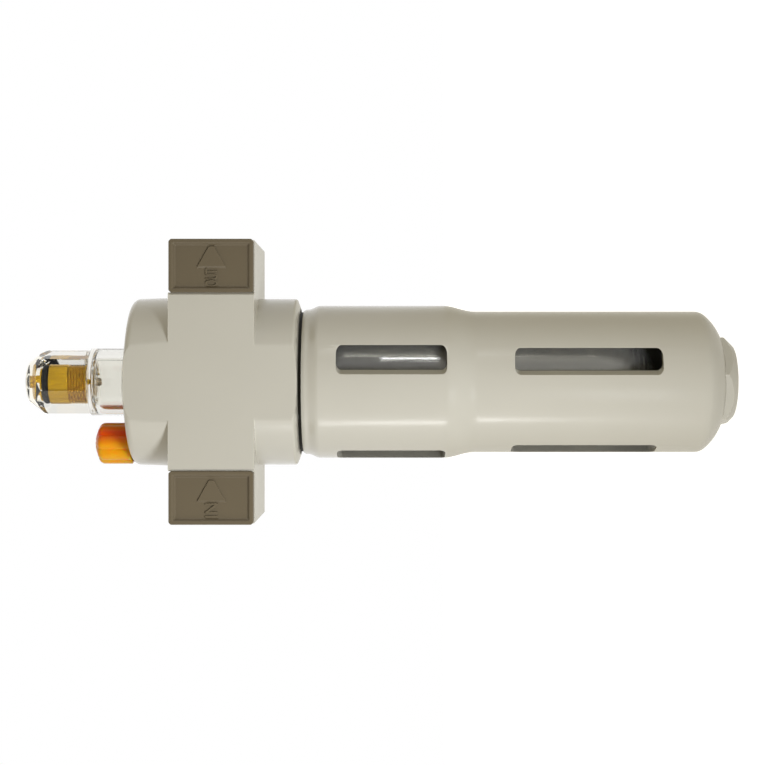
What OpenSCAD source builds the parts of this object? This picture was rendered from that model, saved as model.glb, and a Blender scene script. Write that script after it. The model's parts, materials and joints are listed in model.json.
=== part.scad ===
// Small air line lubricator with a clear oil bowl inside a windowed metal guard.
// A die-cast housing carries a connecting plate on each side, a sight dome with its
// regulating screw and a filler plug on top, and the bowl in its guard below.
// The origin is the centre of the inlet port's mouth. Air flows along +X, +Z is up and
// the front faces -Y. Heights are counted from the port axis. All sizes are millimetres.

/* [Connecting plates] */
// Thickness of one connecting plate along the air flow
plate_len = 12; // [11:0.5:14]
// Height of the plates and their covers
plate_h = 19; // [18.4:0.1:19.2]
// Radius of a port's tapped hole
port_r = 5.72; // [5.2:0.01:5.8]
// Distance of each plate screw from the port axis
screw_pitch = 11; // [10.8:0.1:11.2]
// Thickness of the plastic cover on the front of a plate
cover_t = 3; // [2.8:0.1:3.2]

/* [Housing] */
// Width of the housing block along the air flow
block_w = 40; // [39.6:0.2:42]
// Height of the housing block
block_h = 19.3; // [19.3:0.1:19.8]
// Depth over the front and back flats
flat_d = 35.4; // [35:0.1:36]
// Radius of the round cap and collar
barrel_r = 19.4; // [19.2:0.05:19.6]
// Height of the cap's top at the sight dome
cap_z = 21.6; // [21.4:0.1:21.9]
// Depth of the collar's lower end
collar_depth = 19.3; // [19.2:0.1:19.5]
// Slope of the cap's top, in degrees
cap_slope = 11; // [9:0.5:12]
// Radius of the cap's rounded edge
cap_edge_r = 1.8; // [1.4:0.1:2.2]

/* [Bowl guard] */
// Outer radius of the guard's upper half
guard_r = 17.8; // [17.6:0.05:18]
// Outer radius of the guard's lower half
guard_waist_r = 16.45; // [16.2:0.05:16.6]
// Depth of the guard's hexagon end
guard_depth = 120.1; // [119:0.1:124]
// Size of the hexagon end across its flats
guard_hex = 19.2; // [18:0.1:20]
// Turn of the die slides that form the windows, from the front towards the outlet, in degrees
slide_turn = -28.5; // [-40:0.5:0]
// Half of the angle that a window spans about the guard's axis, in degrees
window_half = 11.2; // [9:0.2:12]

/* [Oil bowl] */
// Outer radius of the bowl
bowl_r = 14.3; // [14:0.05:14.3]
// Wall of the bowl
bowl_wall = 1.8; // [1.5:0.1:1.9]
// Depth at which the bowl's round bottom begins
bowl_straight = 88; // [86:0.5:92]

/* [Sight dome] */
// Size of the dome's hexagon across its flats
dome_hex = 13.2; // [12.8:0.1:13.4]
// Radius of the dome's round skirt
skirt_r = 7.85; // [7.7:0.05:7.9]
// Height of the dome's tip
dome_tip = 44.5; // [44.2:0.1:45.2]
// Turn of the dome's hexagon from the front towards the inlet, in degrees
dome_turn = 16; // [0:1:59]

/* [Filler plug] */
// Distance of the filler plug from the dome's axis
plug_offset = 14.4; // [14.2:0.1:14.5]
// Radius of the filler plug's knob
plug_r = 4.8; // [4.5:0.05:4.85]
// Height of the knob's top
plug_top = 28.8; // [27.5:0.1:30]
// Number of lobes on the knob
plug_lobes = 8; // [6:1:10]

/* [Hidden] */
$fn = 64;
// Overlap of a cutting solid past the face it opens
cut = 1;
// Play of a screwed or sliding fit, on the radius
play = 0.1;

paint = "#C4C0B4";
cover_brown = "#6A5F4A";
clear_plastic = "#DDE6E6";
brass = "#B5912F";
seal_black = "#26241F";
plug_orange = "#F08A10";
steel = "#A8AAA8";
bronze = "#9A7440";

// Upright axis of the housing, seen from the inlet port's mouth
axis_x = block_w / 2 + plate_len;

// Air passage and the sleeve in it
bore_r = 6;
sleeve_r = 5.95;
sleeve_half = 13;
throat_r = 2.7;
throat_mouth_r = 4.4;
throat_mouth_len = 2.5;
channel_y = 6.4;
channel_z = 7.4;
drip_hole_r = 1;
// Flap: its hinge pin, its plate and the seat that it closes
seat_x = -7.4;
pin_x = -6.2;
pin_z = 2.6;
pin_r = 0.5;
flap_barrel_r = 1;
flap_t = 0.8;
flap_back = pin_x - 0.2;
pin_half = 4.4;
flap_low = -3.3;
flap_half = 2.9;

// Cavity under the housing that takes the bowl and the guard
ceiling_z = -9;
seal_bore_r = 16.2;
thread_bore_r = 17;
thread_top_z = -12.3;
collar_z = -collar_depth;
collar_edge_r = 0.7;
// Lower end of the collar: flat out to this radius, then a cone of this slope in degrees
collar_rim_r = 17.2;
collar_slope = 20;
// Draft of the cap's side, from the block up to its edge
cap_draft = 0.3;

// Bowl: flange, seal and wall
flange_top = -10.4;
flange_low = -12.6;
flange_r = 15.95;
bowl_seal_r = 0.65;
bowl_seal_ring = 14.9;
bowl_in = bowl_r - bowl_wall;

// Guard: heights of its profile, from the spigot down to the hexagon
spigot_r = thread_bore_r - play;
spigot_top = flange_low - 0.05;
spigot_in = bowl_r + 0.6;
dust_ring_r = 15.9;
dust_top = collar_z - 0.1;
dust_low = collar_z - 0.75;
neck_r = spigot_r;
neck_edge = 0.6;
flare_top = -21;
flare_low = -24;
waist_top = -52.5;
waist_low = -60;
guard_wall = 1.9;
guard_in = guard_r - guard_wall;
waist_in = bowl_r + 0.3;
guard_floor = 7.1 - guard_depth;
hex_top = 4.05 - guard_depth;
hex_edge = 2.6;
// Rounded lower end: a small corner that runs on into a wide arc
corner_r = 3;
corner_turn = 39.5;
end_r = 12;
end_turn = 68;
corner_z = 8.75 - guard_depth;
upper_window = [-27.9, -52.9];
lower_window = [-68.2, -101.6];
window_corner = 1.3;

// Sight dome: the recess it sits in, its chamber, screw bore and tip
dome_recess_r = 8;
dome_seat = cap_z - 2.5;
dome_thread_r = 7.2;
dome_hole_z = 11.5;
skirt_low = dome_seat + 1;
dome_seal_ring = 7.43;
dome_seal_r = 0.48;
skirt_top = 29.6;
chamber_r = 5.6;
chamber_top = 29.2;
chamber_edge_r = 1.4;
screw_bore_r = 3.55;
screw_bore_low = chamber_top;
screw_bore_top = 42.6;
mouth_r = 2.2;
tip_r = 5.2;
tip_edge_r = 1.6;
chamfer_turn = 37.6;
chamfer_low = 40;
shank_neck_r = 6.85;
oil_groove_r = 6.5;
oil_groove = [12.6, 14];
oil_way_r = 0.45;
oil_way_at = 6.4;
oil_way_top = 31.3;

// Regulating screw and the nozzle under it
nozzle_low = 27.4;
nozzle_flange = [screw_bore_low, 30.2];
nozzle_hole_r = 0.6;
nozzle_tip_r = 0.8;
nozzle_r = 1.2;
nozzle_taper = 1.2;
screw_low = 30.4;
screw_top = 41.25;
screw_r = 3.5;
screw_seal_r = 0.77;
screw_seal_z = 40;
screw_groove_r = 1.8;
screw_seal_play = 0.08;
screw_edge = 0.5;
screw_land_r = 2.6;
driver_slot_w = 0.5;
driver_slot_depth = 0.8;
stub_r = 0.9;
stub_top = 42.4;
needle_r = 0.45;
needle_tip = 29;

// Filler plug: its recess, its hole and the way down to the bowl
plug_seat = cap_z - 2.3;
plug_recess_r = 4.95;
plug_hole_r = 3.5;
plug_hole_z = 11;
plug_shank_low = 12.6;
plug_base = plug_seat + 0.75;
plug_dome_r = 1.7;
plug_crown = 0.5;
plug_core_r = 1.6;
flute_r = 0.95;
flute_at = plug_r + 0.55;
plug_seal_r = 0.32;
plug_seal_ring = 4;
fill_way = [-5.5, -8.8];
fill_way_r = 1.5;
fill_cross_r = 1.3;

// Oil pick-up and the air valve over the bowl
riser_at = [-5, 8.2];
riser_hole_r = 1.1;
riser_bore_r = 1;
// Depth to which the tube and the cage are pushed into the housing
push_depth = 2;
riser_r = 1.8;
riser_low = -84;
riser_top_z = 13.3;
strainer_r = 2.4;
strainer = [-89.5, -79.5];
strainer_floor = 1.2;
push_play = 0.02;
cage_x = -9.2;
cage_r = 2.6;
cage_low = -16.2;
cage_spigot_r = 1.95;
cage_bore_r = 1.65;
air_hole_r = 2;
ball_r = 1.5;
ball_z = -13.6;
ball_lift = 1.2;
seat_depth = 0.5;
stop_hole_r = 0.5;
stop_slot_half = 1.9;
stop_slot_w = 0.6;
stop_slot_up = 0.6;

// Plates: screws, seal groove, the boss under the cover and the cover itself
front_y = -flat_d / 2;
cover_front = front_y - 0.2;
cover_back = cover_front + cover_t;
cover_wall = 1.2;
cover_rim = 0.85;
panel_depth = 0.7;
// Width of the slope from the cover's rim down to its panel
panel_slope = 0.55;
boss_gap = 0.05;
edge = 0.5;
screw_head_r = 2.75;
screw_head_h = 3;
counterbore_r = 3;
counterbore = 3.4;
screw_shank_r = 1.2;
screw_hole_r = 1.6;
tapped_r = 1.25;
tapped_depth = 8;
screw_len = 15;
screw_socket = 2.5;
plate_seal_ring = 7.7;
plate_seal_r = 0.52;
plate_groove = 1.1;

// Points of an arc about a centre, from angle a to angle b
function arc(cx, cy, r, a, b, n = 8) =
    [for (i = [0:n]) let (t = a + (b - a) * i / n) [cx + r * cos(t), cy + r * sin(t)]];

// Points of a smooth S between two radii, going from height z0 to height z1
function s_curve(r0, z0, r1, z1, n = 8) =
    [for (i = [0:n]) [r0 + (r1 - r0) * (1 - cos(180 * i / n)) / 2, z0 + (z1 - z0) * i / n]];

// Radius of a hexagon's corners, from its size across the flats
function corner_of(across) = across / sqrt(3);

// Carries what is drawn about the upright axis to its place beside the inlet port
module on_axis() {
    translate([axis_x, 0, 0]) children();
}

// Lays a solid drawn along +Z so that it runs along +X
module along_x() {
    rotate([0, 90, 0]) children();
}

// Lays a solid drawn along +Z so that it runs towards the front
module along_front() {
    rotate([90, 0, 0]) children();
}

// Box between two opposite corners
module box(low, high) {
    translate(low) cube(high - low);
}

// Round bar between two heights
module bar(r, low, high) {
    translate([0, 0, low]) cylinder(r = r, h = high - low);
}

// Sealing ring lying flat at a height
module ring(centre_r, r, z = 0) {
    translate([0, 0, z]) rotate_extrude() translate([centre_r, 0]) circle(r = r);
}

// Flat rectangle with round corners, centred
module round_rect(w, h, r) {
    square([w - 2 * r, h], center = true);
    square([w, h - 2 * r], center = true);
    for (x = [-1, 1], y = [-1, 1])
        translate([x * (w / 2 - r), y * (h / 2 - r)]) circle(r = r);
}

// Flat rectangle with cut corners, centred
module cut_rect(w, h, c) {
    x = w / 2;
    y = h / 2;
    polygon([
        [x - c, -y], [x, c - y], [x, y - c], [x - c, y],
        [c - x, y], [-x, y - c], [-x, c - y], [c - x, -y]
    ]);
}

// Round cap and collar of the housing, cut flat at the front and the back
module barrel() {
    cap_r = barrel_r + cap_draft;
    edge_x = barrel_r - cap_edge_r;
    edge_end = edge_x + cap_edge_r * sin(cap_slope);
    edge_z = cap_z - (edge_end - dome_recess_r) * tan(cap_slope) - cap_edge_r * cos(cap_slope);
    rim_x = barrel_r - collar_edge_r * (1 - sin(collar_slope));
    rim_z = collar_z + (rim_x - collar_rim_r) * tan(collar_slope) + collar_edge_r * cos(collar_slope);
    intersection() {
        rotate_extrude() polygon(concat(
            [[0, collar_z], [collar_rim_r, collar_z]],
            arc(barrel_r - collar_edge_r, rim_z, collar_edge_r, collar_slope - 90, 0),
            [[barrel_r, 0], [cap_r, 0], [cap_r, block_h / 2]],
            arc(edge_x, edge_z, cap_edge_r, 0, 90 - cap_slope),
            [[dome_recess_r, cap_z], [0, cap_z]]
        ));
        cube([3 * barrel_r, flat_d, 4 * cap_z], center = true);
    }
}

// Square block that joins the plates to the barrel
module block() {
    linear_extrude(block_h, center = true) cut_rect(block_w, flat_d, edge);
}

// Cavity for the bowl's flange and the guard's thread
module bowl_cavity() {
    bar(seal_bore_r, thread_top_z - cut, ceiling_z);
    bar(thread_bore_r, collar_z - cut, thread_top_z);
}

// Seat of the sight dome, with the funnel that leads the drops to the air passage
module dome_hole() {
    funnel_low = 8;
    bar(dome_recess_r, dome_seat, cap_z + cut);
    bar(dome_thread_r, dome_hole_z, dome_seat + cut);
    translate([0, 0, funnel_low])
        cylinder(r1 = drip_hole_r + 0.2, r2 = chamber_r, h = dome_hole_z - funnel_low + 0.01);
    bar(drip_hole_r + 0.2, 0, funnel_low + 0.01);
}

// Filler hole and the drilled way past the air passage down to the bowl
module filler_hole() {
    across = [fill_way[0] + plug_offset, fill_way[1]];
    cross_z = plug_hole_z + fill_way_r;
    translate([-plug_offset, 0, 0]) {
        bar(plug_recess_r, plug_seat, cap_z + cut);
        bar(plug_hole_r, plug_hole_z, plug_seat + cut);
        translate([0, 0, cross_z]) rotate([0, 0, atan2(across[1], across[0])])
            along_x() cylinder(r = fill_cross_r, h = norm(across));
    }
    translate(fill_way) bar(fill_way_r, ceiling_z - cut, cross_z + fill_way_r);
}

// Drilled way of the oil, from the riser tube up and in to the dome's groove
module oil_way() {
    translate(riser_at) {
        bar(riser_r + push_play, ceiling_z - cut, ceiling_z + push_depth);
        bar(riser_hole_r, ceiling_z, riser_top_z + riser_hole_r);
    }
    translate([0, 0, riser_top_z]) rotate([0, 0, atan2(riser_at[1], riser_at[0])])
        along_x() bar(riser_bore_r, chamber_r, norm(riser_at));
}

module housing() {
    color(paint) on_axis() difference() {
        union() {
            barrel();
            block();
        }
        along_x() bar(bore_r, -axis_x, axis_x);
        bowl_cavity();
        dome_hole();
        filler_hole();
        oil_way();
        translate([cage_x, 0, 0]) bar(air_hole_r, ceiling_z - cut, 0);
        for (x = [-1, 1], y = [-1, 1])
            translate([x * (block_w / 2 - tapped_depth), y * screw_pitch, 0])
                rotate([0, x * 90, 0]) cylinder(r = tapped_r, h = tapped_depth + cut);
    }
}

// Connecting plate for the outlet side: port, screw holes, seal groove, boss for the cover
module plate() {
    inner = block_w / 2;
    outer = inner + plate_len;
    depth = flat_d / 2 - cover_back;
    boss = cover_wall + boss_gap;
    difference() {
        union() {
            translate([inner, (cover_back + flat_d / 2) / 2, 0]) along_x()
                linear_extrude(plate_len) cut_rect(plate_h, depth, edge);
            box([inner + boss, cover_front + boss, boss - plate_h / 2],
                [outer - boss, cover_back + edge, plate_h / 2 - boss]);
        }
        along_x() bar(port_r, inner - cut, outer + cut);
        translate([inner, 0, 0]) along_x() difference() {
            bar(plate_seal_ring + 0.7, -cut, plate_groove);
            bar(plate_seal_ring - 0.7, -2 * cut, plate_groove + cut);
        }
        for (y = [-1, 1]) translate([0, y * screw_pitch, 0]) along_x() {
            bar(screw_hole_r, inner - cut, outer);
            bar(counterbore_r, outer - counterbore, outer + cut);
        }
    }
}

// Carries what is drawn on the outlet side over to the inlet side
module inlet_side() {
    mirror([1, 0, 0]) children();
}

module inlet_plate() {
    color(paint) on_axis() inlet_side() plate();
}

module outlet_plate() {
    color(paint) on_axis() plate();
}

// Section of the panel's recess: a trapezoid that widens towards the front
module recess_section(w) {
    reach = panel_depth + cut;
    low = w / 2 - cover_rim - panel_slope;
    high = low + panel_slope * reach / panel_depth;
    polygon([[-low, 0], [low, 0], [high, -reach], [-high, -reach]]);
}

// Sunken panel of a cover, with sloping walls on all four sides
module recess() {
    intersection() {
        linear_extrude(2 * plate_h, center = true) recess_section(plate_len);
        rotate([0, -90, 0]) linear_extrude(2 * plate_len, center = true)
            recess_section(plate_h);
    }
}

// Shell with a rim around a sunken panel, drawn on the outlet side
module cover() {
    inner = block_w / 2;
    middle = inner + plate_len / 2;
    difference() {
        translate([middle, cover_back, 0]) along_front()
            linear_extrude(cover_t) cut_rect(plate_len, plate_h, edge);
        translate([middle, cover_back + cut, 0]) along_front()
            linear_extrude(cover_t - cover_wall + cut)
                square([plate_len - 2 * cover_wall, plate_h - 2 * cover_wall], center = true);
        translate([middle, cover_front + panel_depth, 0]) recess();
    }
}

module inlet_cover() {
    color(cover_brown) on_axis() inlet_side() cover();
}

module outlet_cover() {
    color(cover_brown) on_axis() cover();
}

// Socket head screw lying along +X, with the underside of its head at zero
module socket_screw() {
    along_x() difference() {
        union() {
            bar(screw_head_r, 0, screw_head_h);
            bar(screw_shank_r, -screw_len, cut);
        }
        translate([0, 0, screw_head_h - 1.5])
            cylinder(r = corner_of(screw_socket), h = 1.5 + cut, $fn = 6);
    }
}

module plate_screws() {
    head_x = axis_x - counterbore;
    color(steel) on_axis() for (x = [0, 1], y = [-1, 1])
        mirror([x, 0, 0]) translate([head_x, y * screw_pitch, 0]) socket_screw();
}

// Ring in the seal groove of the outlet plate
module plate_seal() {
    translate([block_w / 2 + plate_groove / 2, 0, 0]) along_x()
        ring(plate_seal_ring, plate_seal_r);
}

module inlet_plate_seal() {
    color(seal_black) on_axis() inlet_side() plate_seal();
}

module outlet_plate_seal() {
    color(seal_black) on_axis() plate_seal();
}

// Outside of the sight dome: threaded shank, round skirt, hexagon with a chamfered tip
module dome_outside() {
    bar(dome_thread_r - play, dome_hole_z + play, dome_seat - 0.3);
    bar(shank_neck_r, dome_seat - 0.3 - 0.01, skirt_low + cut);
    bar(skirt_r, skirt_low, skirt_top);
    intersection() {
        rotate([0, 0, -90 - dome_turn])
            translate([0, 0, skirt_top - cut])
                cylinder(r = corner_of(dome_hex), h = dome_tip - skirt_top + cut, $fn = 6);
        rotate_extrude() polygon(concat(
            [[0, skirt_top - cut], [skirt_r, skirt_top - cut], [skirt_r, chamfer_low]],
            arc(tip_r - tip_edge_r, dome_tip - tip_edge_r, tip_edge_r, chamfer_turn, 90),
            [[0, dome_tip]]
        ));
    }
}

module sight_dome() {
    color(clear_plastic) on_axis() difference() {
        dome_outside();
        rotate_extrude() polygon(concat(
            [[0, dome_hole_z - cut], [chamber_r, dome_hole_z - cut]],
            arc(chamber_r - chamber_edge_r, chamber_top - chamber_edge_r, chamber_edge_r, 0, 90),
            [[screw_bore_r, screw_bore_low], [screw_bore_r, screw_bore_top],
             [mouth_r, screw_bore_top], [mouth_r, dome_tip + cut], [0, dome_tip + cut]]
        ));
        difference() {
            bar(dome_thread_r + cut, oil_groove[0], oil_groove[1]);
            bar(oil_groove_r, oil_groove[0] - cut, oil_groove[1] + cut);
        }
        rotate([0, 0, 30 - dome_turn]) {
            translate([oil_way_at, 0, 0]) bar(oil_way_r, oil_groove[0], oil_way_top);
            translate([0, 0, oil_way_top - oil_way_r]) along_x() bar(oil_way_r, 0, oil_way_at);
        }
    }
}

module dome_seal() {
    color(seal_black) on_axis()
        ring(dome_seal_ring, dome_seal_r, (dome_seat + skirt_low) / 2);
}

// Brass screw with a groove for its seal, a slotted stub on top and a needle below
module regulating_screw() {
    groove = screw_seal_r + screw_seal_play;
    color(brass) on_axis() difference() {
        rotate_extrude() polygon([
            [0, needle_tip], [needle_r, needle_tip + 1], [needle_r, screw_low],
            [screw_r - screw_edge, screw_low], [screw_r, screw_low + screw_edge],
            [screw_r, screw_seal_z - groove], [screw_groove_r, screw_seal_z - groove],
            [screw_groove_r, screw_seal_z + groove], [screw_land_r, screw_seal_z + groove],
            [screw_land_r, screw_top], [stub_r, screw_top], [stub_r, stub_top], [0, stub_top]
        ]);
        translate([0, 0, stub_top])
            cube([3 * stub_r, driver_slot_w, 2 * driver_slot_depth], center = true);
    }
}

module regulating_screw_seal() {
    centre_r = screw_groove_r + screw_seal_r + screw_seal_play;
    color(seal_black) on_axis() ring(centre_r, screw_seal_r, screw_seal_z);
}

// Flanged nozzle that lets the drops fall into the dome's chamber
module drip_nozzle() {
    color(clear_plastic) on_axis() difference() {
        rotate_extrude() polygon([
            [0, nozzle_low], [nozzle_tip_r, nozzle_low], [nozzle_r, nozzle_low + nozzle_taper],
            [nozzle_r, nozzle_flange[0]], [screw_r, nozzle_flange[0]],
            [screw_r, nozzle_flange[1]], [0, nozzle_flange[1]]
        ]);
        bar(nozzle_hole_r, nozzle_low - cut, nozzle_flange[1] + cut);
    }
}

// Knob with round lobes and a domed top, on a threaded shank
module filler_plug() {
    lobe_turn = 360 / plug_lobes;
    color(plug_orange) on_axis() translate([-plug_offset, 0, 0]) difference() {
        rotate_extrude() polygon(concat(
            [[0, plug_shank_low], [plug_hole_r - play, plug_shank_low],
             [plug_hole_r - play, plug_base], [plug_r, plug_base]],
            arc(plug_r - plug_dome_r, plug_top - plug_crown - plug_dome_r, plug_dome_r, 0, 75),
            [[0, plug_top]]
        ));
        for (i = [1:plug_lobes]) rotate([0, 0, (i + 0.5) * lobe_turn - 90])
            translate([flute_at, 0, 0]) bar(flute_r, plug_base - cut, plug_top + cut);
        bar(plug_core_r, plug_shank_low - cut, plug_base);
    }
}

module filler_plug_seal() {
    color(seal_black) on_axis() translate([-plug_offset, 0, 0])
        ring(plug_seal_ring, plug_seal_r, (plug_seat + plug_base) / 2);
}

// Sleeve that narrows the air passage, opens under the drip hole and carries the flap
module venturi_insert() {
    color(cover_brown) on_axis() difference() {
        along_x() bar(sleeve_r, -sleeve_half, sleeve_half);
        along_x() bar(throat_r, -sleeve_half - cut, seat_x + cut);
        along_x() translate([0, 0, -sleeve_half - 0.01])
            cylinder(r1 = throat_mouth_r, r2 = throat_r, h = throat_mouth_len);
        box([seat_x, -channel_y / 2, -channel_z / 2], [sleeve_half + cut, channel_y / 2, channel_z / 2]);
        bar(drip_hole_r, 0, bore_r + cut);
        translate([cage_x, 0, 0]) bar(drip_hole_r, -bore_r - cut, 0);
        translate([pin_x, 0, pin_z]) along_front() bar(pin_r + 0.01, -bore_r, bore_r);
    }
}

// Plate that hangs from its pin over the seat and swings downstream
module flow_flap() {
    color(steel) on_axis() difference() {
        union() {
            box([flap_back - flap_t, -flap_half, flap_low], [flap_back, flap_half, pin_z]);
            translate([pin_x, 0, pin_z]) along_front() bar(flap_barrel_r, -flap_half, flap_half);
        }
        translate([pin_x, 0, pin_z]) along_front() bar(pin_r + 0.05, -bore_r, bore_r);
    }
}

module flap_pin() {
    color(steel) on_axis() translate([pin_x, 0, pin_z]) along_front()
        bar(pin_r, -pin_half, pin_half);
}

// Cage with a seat above the ball and a slotted stop below it
module check_cage() {
    seat_z = ball_z + ball_lift + sqrt(ball_r ^ 2 - drip_hole_r ^ 2);
    stop_z = ball_z - ball_r;
    color(brass) on_axis() translate([cage_x, 0, 0]) difference() {
        union() {
            bar(cage_r, cage_low, ceiling_z);
            bar(cage_spigot_r, ceiling_z - cut, ceiling_z + push_depth);
        }
        bar(drip_hole_r, seat_z - cut, 0);
        bar(cage_bore_r, stop_z, seat_z - seat_depth);
        translate([0, 0, seat_z - seat_depth - 0.01])
            cylinder(r1 = cage_bore_r, r2 = drip_hole_r, h = seat_depth + 0.01);
        bar(stop_hole_r, cage_low - cut, stop_z + cut);
        for (turn = [0, 90]) rotate([0, 0, turn]) box(
            [-stop_slot_half, -stop_slot_w / 2, cage_low - cut],
            [stop_slot_half, stop_slot_w / 2, stop_z + stop_slot_up]
        );
    }
}

module check_ball() {
    color(steel) on_axis() translate([cage_x, 0, ball_z + 0.02]) sphere(r = ball_r);
}

module riser_tube() {
    color(clear_plastic) on_axis() translate(riser_at) difference() {
        bar(riser_r, riser_low, ceiling_z + push_depth);
        bar(riser_bore_r, riser_low - cut, ceiling_z + push_depth + cut);
    }
}

// Sintered cup pushed over the end of the riser tube
module tube_strainer() {
    color(bronze) on_axis() translate(riser_at) difference() {
        bar(strainer_r, strainer[0], strainer[1]);
        bar(riser_r + push_play, riser_low, strainer[1] + cut);
        bar(riser_hole_r, strainer[0] + strainer_floor, riser_low + cut);
    }
}

// Round-bottomed cup that hangs on its flange
module bowl() {
    color(clear_plastic) on_axis() rotate_extrude() polygon(concat(
        arc(0, -bowl_straight, bowl_r, -90, 0, 12),
        [[bowl_r, flange_low], [flange_r, flange_low], [flange_r, flange_top],
         [bowl_in, flange_top]],
        arc(0, -bowl_straight, bowl_in, 0, -90, 12)
    ));
}

module bowl_seal() {
    color(seal_black) on_axis() ring(bowl_seal_ring, bowl_seal_r, flange_top + bowl_seal_r);
}

// Half section of the guard: spigot, ring groove, flare, waist and rounded end
module guard_section() {
    end_x = guard_waist_r - corner_r - (end_r - corner_r) * cos(corner_turn);
    end_z = corner_z + (end_r - corner_r) * sin(corner_turn);
    inner_corner = 2;
    polygon(concat(
        [[spigot_in, spigot_top], [spigot_in, flare_top]],
        s_curve(spigot_in, flare_top, guard_in, flare_low - 1),
        s_curve(guard_in, waist_top, waist_in, waist_low),
        arc(waist_in - inner_corner, guard_floor + inner_corner, inner_corner, 0, -90),
        [[0, guard_floor], [0, hex_top - 1]],
        arc(end_x, end_z, end_r, -end_turn, -corner_turn),
        arc(guard_waist_r - corner_r, corner_z, corner_r, -corner_turn, 0, 4),
        s_curve(guard_waist_r, waist_low, guard_r, waist_top),
        s_curve(guard_r, flare_low, neck_r, flare_top),
        [[neck_r, dust_low - neck_edge], [neck_r - neck_edge / 2, dust_low],
         [dust_ring_r, dust_low], [dust_ring_r, dust_top + 0.5],
         [spigot_r, dust_top + 0.5], [spigot_r, spigot_top]]
    ));
}

// Row of four round-cornered windows through the guard's wall. Two opposite die slides form
// them, a pair each, so their walls run along the slides and not towards the axis
module windows(r, span) {
    near = r * sin(45 - window_half);
    far = r * sin(45 + window_half);
    for (turn = [0, 180], side = [-1, 1]) rotate([0, 0, slide_turn + turn])
        translate([side * (near + far) / 2, 0, (span[0] + span[1]) / 2]) along_front()
            linear_extrude(guard_r + cut)
                round_rect(far - near, span[0] - span[1], window_corner);
}

// Hexagon at the guard's end, with its corners turned off
module guard_end() {
    vertex_turn = -81.7;
    hex_corner = corner_of(guard_hex);
    intersection() {
        rotate([0, 0, vertex_turn]) translate([0, 0, -guard_depth])
            cylinder(r = hex_corner, h = hex_top + guard_depth, $fn = 6);
        translate([0, 0, -guard_depth]) cylinder(
            r1 = hex_corner - hex_edge, r2 = hex_corner - hex_edge + hex_top + guard_depth,
            h = hex_top + guard_depth
        );
    }
}

module bowl_guard() {
    color(paint) on_axis() union() {
        difference() {
            rotate_extrude() guard_section();
            windows(guard_r, upper_window);
            windows(guard_waist_r, lower_window);
        }
        guard_end();
    }
}

module guard_dust_ring() {
    color(seal_black) on_axis() difference() {
        bar(neck_r - neck_edge, dust_low, dust_top);
        bar(dust_ring_r, dust_low - cut, dust_top + cut);
    }
}

housing();
inlet_plate();
outlet_plate();
inlet_cover();
outlet_cover();
plate_screws();
inlet_plate_seal();
outlet_plate_seal();
sight_dome();
dome_seal();
regulating_screw();
regulating_screw_seal();
drip_nozzle();
filler_plug();
filler_plug_seal();
venturi_insert();
flow_flap();
flap_pin();
check_cage();
check_ball();
riser_tube();
tube_strainer();
bowl();
bowl_seal();
bowl_guard();
guard_dust_ring();
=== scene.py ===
"""Looks of a small air line lubricator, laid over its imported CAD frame.

The file is laid out as an add-on and run as a script. All of it is in metres in the CAD frame:
the origin is the inlet port's mouth, air flows along +X, +Z is up and the front faces -Y.
"""

import json
import math

import bmesh
import bpy
from bpy.props import FloatProperty, FloatVectorProperty, PointerProperty
from mathutils import Matrix, Vector


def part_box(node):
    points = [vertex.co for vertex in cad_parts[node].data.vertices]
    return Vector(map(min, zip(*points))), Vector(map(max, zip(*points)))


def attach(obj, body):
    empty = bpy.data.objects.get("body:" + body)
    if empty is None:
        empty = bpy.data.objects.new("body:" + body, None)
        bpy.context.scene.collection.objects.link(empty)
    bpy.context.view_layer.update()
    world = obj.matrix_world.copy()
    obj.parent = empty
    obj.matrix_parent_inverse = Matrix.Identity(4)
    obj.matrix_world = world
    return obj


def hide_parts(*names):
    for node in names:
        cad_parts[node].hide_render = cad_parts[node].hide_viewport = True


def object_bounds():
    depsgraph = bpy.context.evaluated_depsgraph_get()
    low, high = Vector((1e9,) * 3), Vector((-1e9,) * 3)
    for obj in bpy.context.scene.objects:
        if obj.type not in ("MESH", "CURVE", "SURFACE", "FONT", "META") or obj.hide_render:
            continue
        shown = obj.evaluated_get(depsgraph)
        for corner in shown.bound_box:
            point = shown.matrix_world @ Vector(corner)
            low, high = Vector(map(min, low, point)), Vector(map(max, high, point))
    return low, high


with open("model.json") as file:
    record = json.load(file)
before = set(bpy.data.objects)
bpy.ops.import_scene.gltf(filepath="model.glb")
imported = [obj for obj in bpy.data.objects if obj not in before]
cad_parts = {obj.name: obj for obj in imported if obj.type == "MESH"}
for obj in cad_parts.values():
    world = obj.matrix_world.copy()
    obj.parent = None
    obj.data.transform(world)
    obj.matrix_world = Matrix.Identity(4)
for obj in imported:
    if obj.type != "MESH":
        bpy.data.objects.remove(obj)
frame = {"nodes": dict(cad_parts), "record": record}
CAD_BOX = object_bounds()

bl_info = {
    "name": "Air line lubricator looks",
    "version": (1, 0, 0),
    "blender": (4, 5, 0),
    "location": "View3D > Sidebar > Lubricator",
    "description": "Dresses the lubricator's CAD frame with finishes, fine pieces and a plain stage",
    "category": "Object",
}

MM = 0.001
NODES = frame["nodes"]
FULL_TURN = 2 * math.pi


def middle(node):
    """Centre of a CAD node's box."""
    low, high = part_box(node)
    return (low + high) / 2


# Upright axis of the housing, and the filler plug's own axis
AXIS = Vector((middle("bowl").x, middle("bowl").y, 0))
PLUG_AXIS = Vector((middle("filler_plug").x, middle("filler_plug").y, 0))


def linear(code):
    """Linear RGBA of an sRGB hex colour."""
    parts = [int(code[i:i + 2], 16) / 255 for i in (1, 3, 5)]
    return tuple(p / 12.92 if p <= 0.04045 else ((p + 0.055) / 1.055) ** 2.4 for p in parts) + (1,)


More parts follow.
